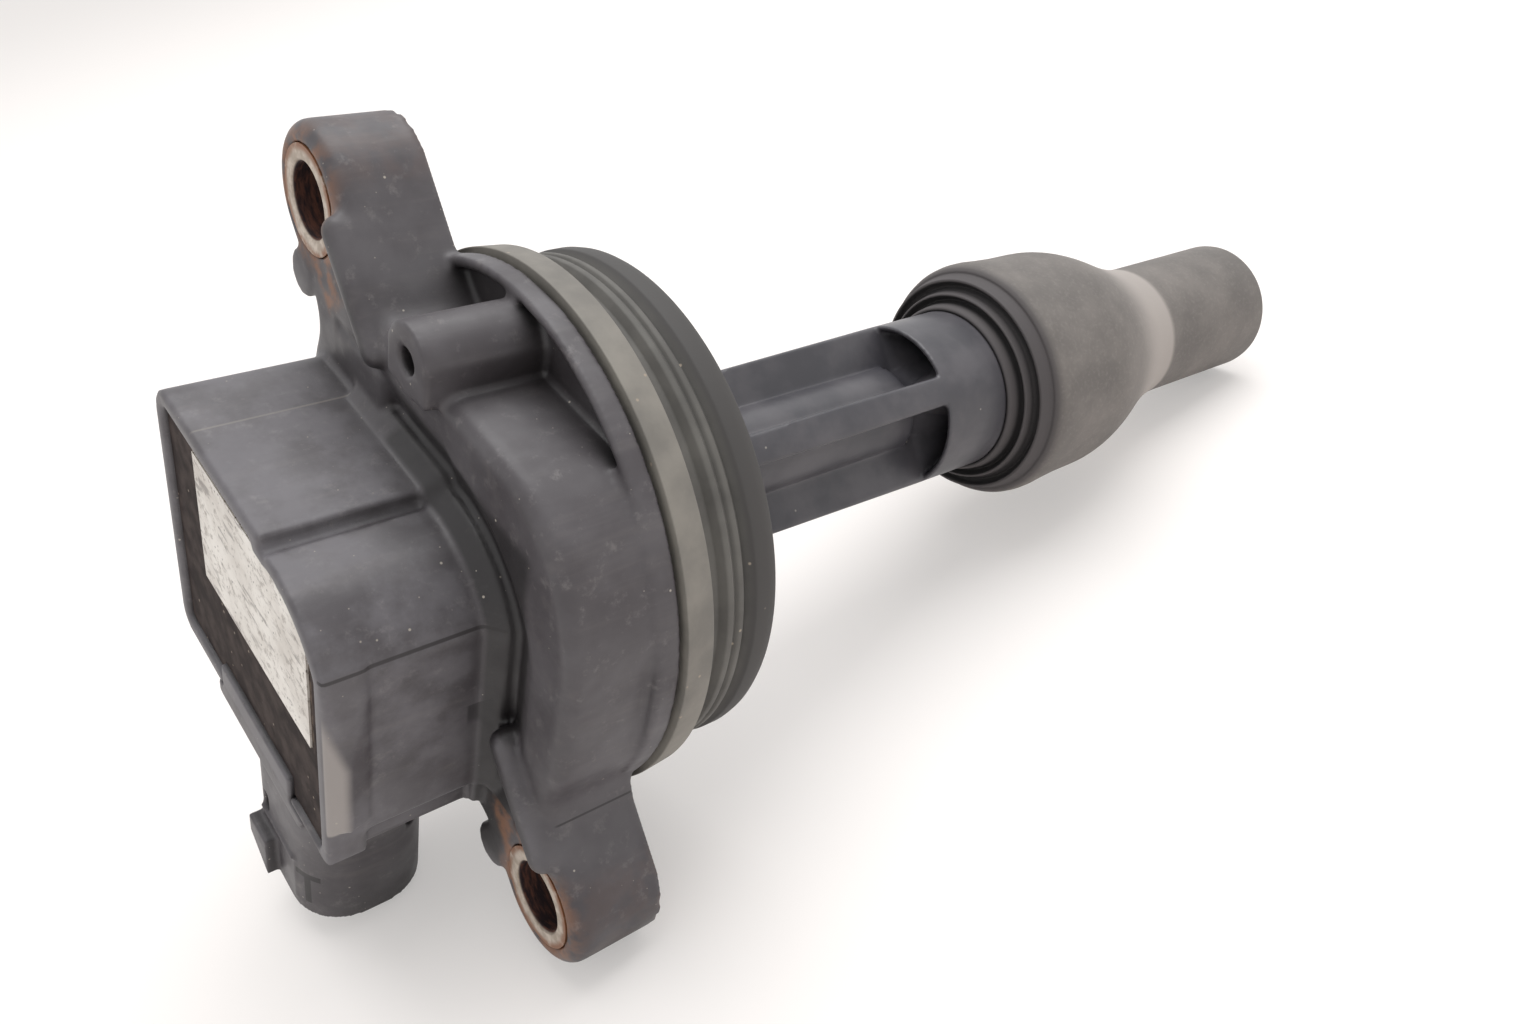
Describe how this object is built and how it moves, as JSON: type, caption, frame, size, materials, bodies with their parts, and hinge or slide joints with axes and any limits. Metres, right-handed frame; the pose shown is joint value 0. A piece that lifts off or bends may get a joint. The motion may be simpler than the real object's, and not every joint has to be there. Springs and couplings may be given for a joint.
{
  "type": "ignition coil",
  "caption": "Coil-on-plug ignition coil with a potted head box, side connector, diagonal ears with steel sleeves, sealing flange, ribbed tower and a rubber spark plug boot.",
  "frame": {"origin": "on the coil's long axis, in the plane of the mounting ears' undersides that sit on the engine", "axes": "+Z along the coil's long axis from the boot up to the head, -Y out of the connector's mouth, +X completes a right-handed frame"},
  "size_m": [0.0628, 0.0728, 0.1454],
  "materials": {
    "case_plastic": "moulded, fine grain",
    "connector_plastic": "moulded, fine grain",
    "tower_plastic": "moulded, half gloss",
    "seal_rubber": "dusty, matt",
    "boot_rubber": "dusty, matt",
    "bushing_steel": "sintered, rusted bore",
    "potting_epoxy": "cast, half gloss",
    "label_film": "printed film, left bare, aged",
    "tinned_brass": "tinned",
    "terminal_brass": "turned",
    "copper_strip": "stamped copper",
    "core_steel": "stacked laminations",
    "magnet": "plated",
    "bobbin_plastic": "moulded, glass filled",
    "primary_wire": "enamelled copper wire",
    "secondary_wire": "fine enamelled copper wire",
    "igniter_epoxy": "transfer moulded",
    "sink_aluminium": "stamped",
    "resistor_ceramic": "fired",
    "plated_steel": "zinc plated",
    "spring_steel": "drawn"
  },
  "bodies": {
    "coil": {"bus_strips": "copper_strip", "case": "case_plastic", "conductor_rod": "plated_steel", "connector_housing": "connector_plastic", "connector_pins": "tinned_brass", "contact_spring": "spring_steel", "core_e_laminations": "core_steel", "core_i_laminations": "core_steel", "core_magnet": "magnet", "flange_seal": "seal_rubber", "high_tension_terminal": "terminal_brass", "igniter_heat_sink": "sink_aluminium", "igniter_module": "igniter_epoxy", "label": "label_film", "mounting_bushings": "bushing_steel", "potting_resin": "potting_epoxy", "primary_bobbin": "bobbin_plastic", "primary_winding": "primary_wire", "secondary_bobbin": "bobbin_plastic", "secondary_winding": "secondary_wire", "spark_plug_boot": "boot_rubber", "suppression_resistor": "resistor_ceramic", "tower": "tower_plastic"},
    "contact": {"plug_contact": "terminal_brass"}
  },
  "joints": [
    {"name": "contact_travel", "type": "slide", "parent": "coil", "child": "contact", "axis": [0, 0, 1], "range_m": [0, 0.005], "stiffness_N_per_m": 600, "deforming": ["contact_spring"]}
  ]
}
